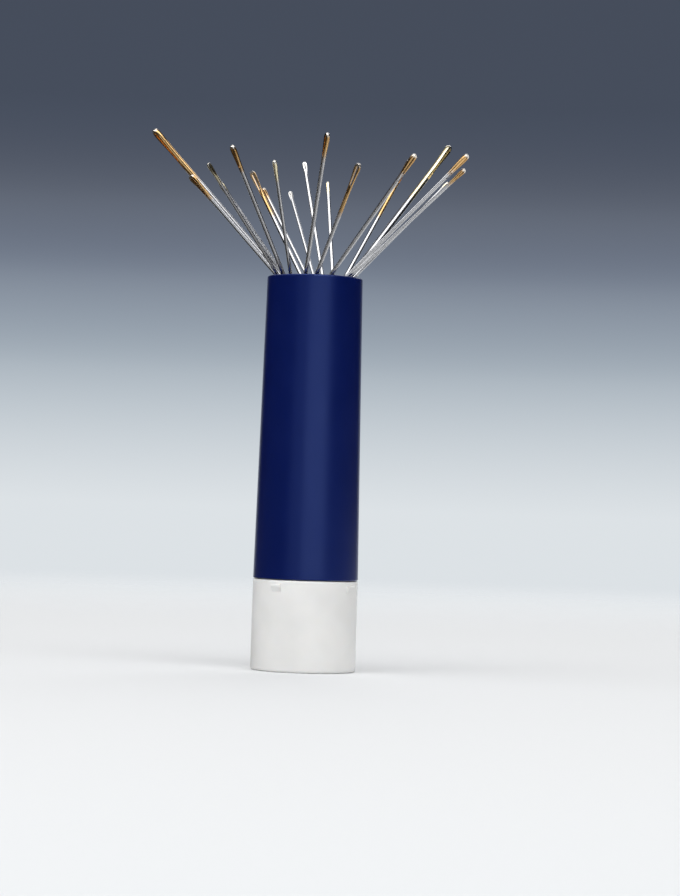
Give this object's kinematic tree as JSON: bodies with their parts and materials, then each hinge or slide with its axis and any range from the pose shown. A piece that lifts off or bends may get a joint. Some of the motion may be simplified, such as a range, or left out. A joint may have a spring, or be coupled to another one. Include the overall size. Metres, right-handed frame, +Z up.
{
  "type": "twist-up needle dispenser",
  "caption": "Tapered tube on a round base knob; turning it raises or lowers a magnet that carries a fan of sewing needles.",
  "frame": {"origin": "centre of the base knob's underside", "axes": "+Z up along the case's axis, -Y towards the viewer of the picture, +X to the right"},
  "size_m": [0.0667, 0.0493, 0.1145],
  "materials": {
    "blue_plastic": "satin moulded",
    "white_plastic": "satin moulded",
    "natural_plastic": "as moulded",
    "magnet": "nickel plated",
    "needle_steel": "polished nickel, with gilt eyes"
  },
  "bodies": {
    "base": {"base_knob": "white_plastic", "base_plug": "white_plastic", "guide_tube": "white_plastic"},
    "turning_sleeve": {"sleeve": "blue_plastic", "spiral_liner": "natural_plastic"},
    "magnet_carriage": {"carriage": "white_plastic", "magnet": "magnet"},
    "darner_1_body": {"darner_1": "needle_steel"},
    "crewel_1_body": {"crewel_1": "needle_steel"},
    "sharp_1_body": {"sharp_1": "needle_steel"},
    "sharp_2_body": {"sharp_2": "needle_steel"},
    "crewel_2_body": {"crewel_2": "needle_steel"},
    "crewel_3_body": {"crewel_3": "needle_steel"},
    "crewel_4_body": {"crewel_4": "needle_steel"},
    "between_1_body": {"between_1": "needle_steel"},
    "sharp_3_body": {"sharp_3": "needle_steel"},
    "between_2_body": {"between_2": "needle_steel"},
    "sharp_4_body": {"sharp_4": "needle_steel"},
    "crewel_5_body": {"crewel_5": "needle_steel"},
    "sharp_5_body": {"sharp_5": "needle_steel"},
    "crewel_6_body": {"crewel_6": "needle_steel"},
    "crewel_7_body": {"crewel_7": "needle_steel"},
    "crewel_8_body": {"crewel_8": "needle_steel"},
    "darner_2_body": {"darner_2": "needle_steel"},
    "crewel_9_body": {"crewel_9": "needle_steel"},
    "sharp_6_body": {"sharp_6": "needle_steel"},
    "sharp_7_body": {"sharp_7": "needle_steel"}
  },
  "joints": [
    {"name": "sleeve_turn", "type": "hinge", "parent": "base", "child": "turning_sleeve", "pos_m": [0, 0, 0.05], "axis": [0, 0, 1], "range_deg": [0, 450]},
    {"name": "carriage_slide", "type": "slide", "parent": "base", "child": "magnet_carriage", "axis": [0, 0, -1], "range_m": [0, 0.0475]},
    {"name": "darner_1_swing", "type": "hinge", "parent": "base", "child": "darner_1_body", "pos_m": [-0.05464, 0.00315, 0.04731], "axis": [0.0175, 0.9998, 0], "range_deg": [0, 46]},
    {"name": "crewel_1_swing", "type": "hinge", "parent": "base", "child": "crewel_1_body", "pos_m": [-0.05492, 0.00186, 0.04669], "axis": [0.0175, 0.9998, 0], "range_deg": [0, 46]},
    {"name": "sharp_1_swing", "type": "hinge", "parent": "base", "child": "sharp_1_body", "pos_m": [-0.0524, 0.00432, 0.04799], "axis": [0.0175, 0.9998, 0], "range_deg": [0, 47.5]},
    {"name": "sharp_2_swing", "type": "hinge", "parent": "base", "child": "sharp_2_body", "pos_m": [-0.04466, -0.03291, 0.04728], "axis": [-0.6428, 0.766, 0], "range_deg": [0, 45.5]},
    {"name": "crewel_2_swing", "type": "hinge", "parent": "base", "child": "crewel_2_body", "pos_m": [-0.06509, 0.00574, 0.04574], "axis": [0.0175, 0.9998, 0], "range_deg": [0, 39.5]},
    {"name": "crewel_3_swing", "type": "hinge", "parent": "base", "child": "crewel_3_body", "pos_m": [-0.03069, -0.04615, 0.04739], "axis": [-0.866, 0.5, 0], "range_deg": [0, 45.5]},
    {"name": "crewel_4_swing", "type": "hinge", "parent": "base", "child": "crewel_4_body", "pos_m": [-0.04752, 0.04938, 0.04425], "axis": [0.682, 0.7314, 0], "range_deg": [0, 38]},
    {"name": "between_1_swing", "type": "hinge", "parent": "base", "child": "between_1_body", "pos_m": [-0.04501, 0.04867, 0.04561], "axis": [0.682, 0.7314, 0], "range_deg": [0, 39]},
    {"name": "sharp_3_swing", "type": "hinge", "parent": "base", "child": "sharp_3_body", "pos_m": [-0.01428, -0.05354, 0.04746], "axis": [-0.9816, 0.1908, 0], "range_deg": [0, 45.5]},
    {"name": "between_2_swing", "type": "hinge", "parent": "base", "child": "between_2_body", "pos_m": [-0.02301, 0.05955, 0.04492], "axis": [0.9135, 0.4067, 0], "range_deg": [0, 40.5]},
    {"name": "sharp_4_swing", "type": "hinge", "parent": "base", "child": "sharp_4_body", "pos_m": [-0.02844, 0.08241, 0.04057], "axis": [0.9272, 0.3746, 0], "range_deg": [0, 30.5]},
    {"name": "crewel_5_swing", "type": "hinge", "parent": "base", "child": "crewel_5_body", "pos_m": [0.01103, -0.06873, 0.04386], "axis": [-0.9781, -0.2079, 0], "range_deg": [0, 37.5]},
    {"name": "sharp_5_swing", "type": "hinge", "parent": "base", "child": "sharp_5_body", "pos_m": [-0.0084, 0.08369, 0.0416], "axis": [0.9877, 0.1564, 0], "range_deg": [0, 31.5]},
    {"name": "crewel_6_swing", "type": "hinge", "parent": "base", "child": "crewel_6_body", "pos_m": [0.03239, -0.05919, 0.04465], "axis": [-0.848, -0.5299, 0], "range_deg": [0, 38.5]},
    {"name": "crewel_7_swing", "type": "hinge", "parent": "base", "child": "crewel_7_body", "pos_m": [0.04671, -0.03645, 0.04679], "axis": [-0.5592, -0.829, 0], "range_deg": [0, 43]},
    {"name": "crewel_8_swing", "type": "hinge", "parent": "base", "child": "crewel_8_body", "pos_m": [0.04205, 0.04825, 0.04432], "axis": [0.766, -0.6428, 0], "range_deg": [0, 40.5]},
    {"name": "darner_2_swing", "type": "hinge", "parent": "base", "child": "darner_2_body", "pos_m": [0.04084, 0.03513, 0.0479], "axis": [0.6947, -0.7193, 0], "range_deg": [0, 46.5]},
    {"name": "crewel_9_swing", "type": "hinge", "parent": "base", "child": "crewel_9_body", "pos_m": [0.05232, -0.00985, 0.04792], "axis": [-0.1219, -0.9925, 0], "range_deg": [0, 47]},
    {"name": "sharp_6_swing", "type": "hinge", "parent": "base", "child": "sharp_6_body", "pos_m": [0.04999, -0.00835, 0.04806], "axis": [-0.1219, -0.9925, 0], "range_deg": [0, 49]},
    {"name": "sharp_7_swing", "type": "hinge", "parent": "base", "child": "sharp_7_body", "pos_m": [0.05046, 0.01485, 0.04794], "axis": [0.342, -0.9397, 0], "range_deg": [0, 47.5]}
  ],
  "couplings": [
    {"joint": "carriage_slide", "follows": "sleeve_turn", "m_per_rad": 0.0060478},
    {"joint": "darner_1_swing", "follows": "sleeve_turn", "ratio": 0.10222},
    {"joint": "crewel_1_swing", "follows": "sleeve_turn", "ratio": 0.10222},
    {"joint": "sharp_1_swing", "follows": "sleeve_turn", "ratio": 0.10556},
    {"joint": "sharp_2_swing", "follows": "sleeve_turn", "ratio": 0.10111},
    {"joint": "crewel_2_swing", "follows": "sleeve_turn", "ratio": 0.087778},
    {"joint": "crewel_3_swing", "follows": "sleeve_turn", "ratio": 0.10111},
    {"joint": "crewel_4_swing", "follows": "sleeve_turn", "ratio": 0.084444},
    {"joint": "between_1_swing", "follows": "sleeve_turn", "ratio": 0.086667},
    {"joint": "sharp_3_swing", "follows": "sleeve_turn", "ratio": 0.10111},
    {"joint": "between_2_swing", "follows": "sleeve_turn", "ratio": 0.09},
    {"joint": "sharp_4_swing", "follows": "sleeve_turn", "ratio": 0.067778},
    {"joint": "crewel_5_swing", "follows": "sleeve_turn", "ratio": 0.083333},
    {"joint": "sharp_5_swing", "follows": "sleeve_turn", "ratio": 0.07},
    {"joint": "crewel_6_swing", "follows": "sleeve_turn", "ratio": 0.085556},
    {"joint": "crewel_7_swing", "follows": "sleeve_turn", "ratio": 0.095556},
    {"joint": "crewel_8_swing", "follows": "sleeve_turn", "ratio": 0.09},
    {"joint": "darner_2_swing", "follows": "sleeve_turn", "ratio": 0.10333},
    {"joint": "crewel_9_swing", "follows": "sleeve_turn", "ratio": 0.10444},
    {"joint": "sharp_6_swing", "follows": "sleeve_turn", "ratio": 0.10889},
    {"joint": "sharp_7_swing", "follows": "sleeve_turn", "ratio": 0.10556}
  ]
}
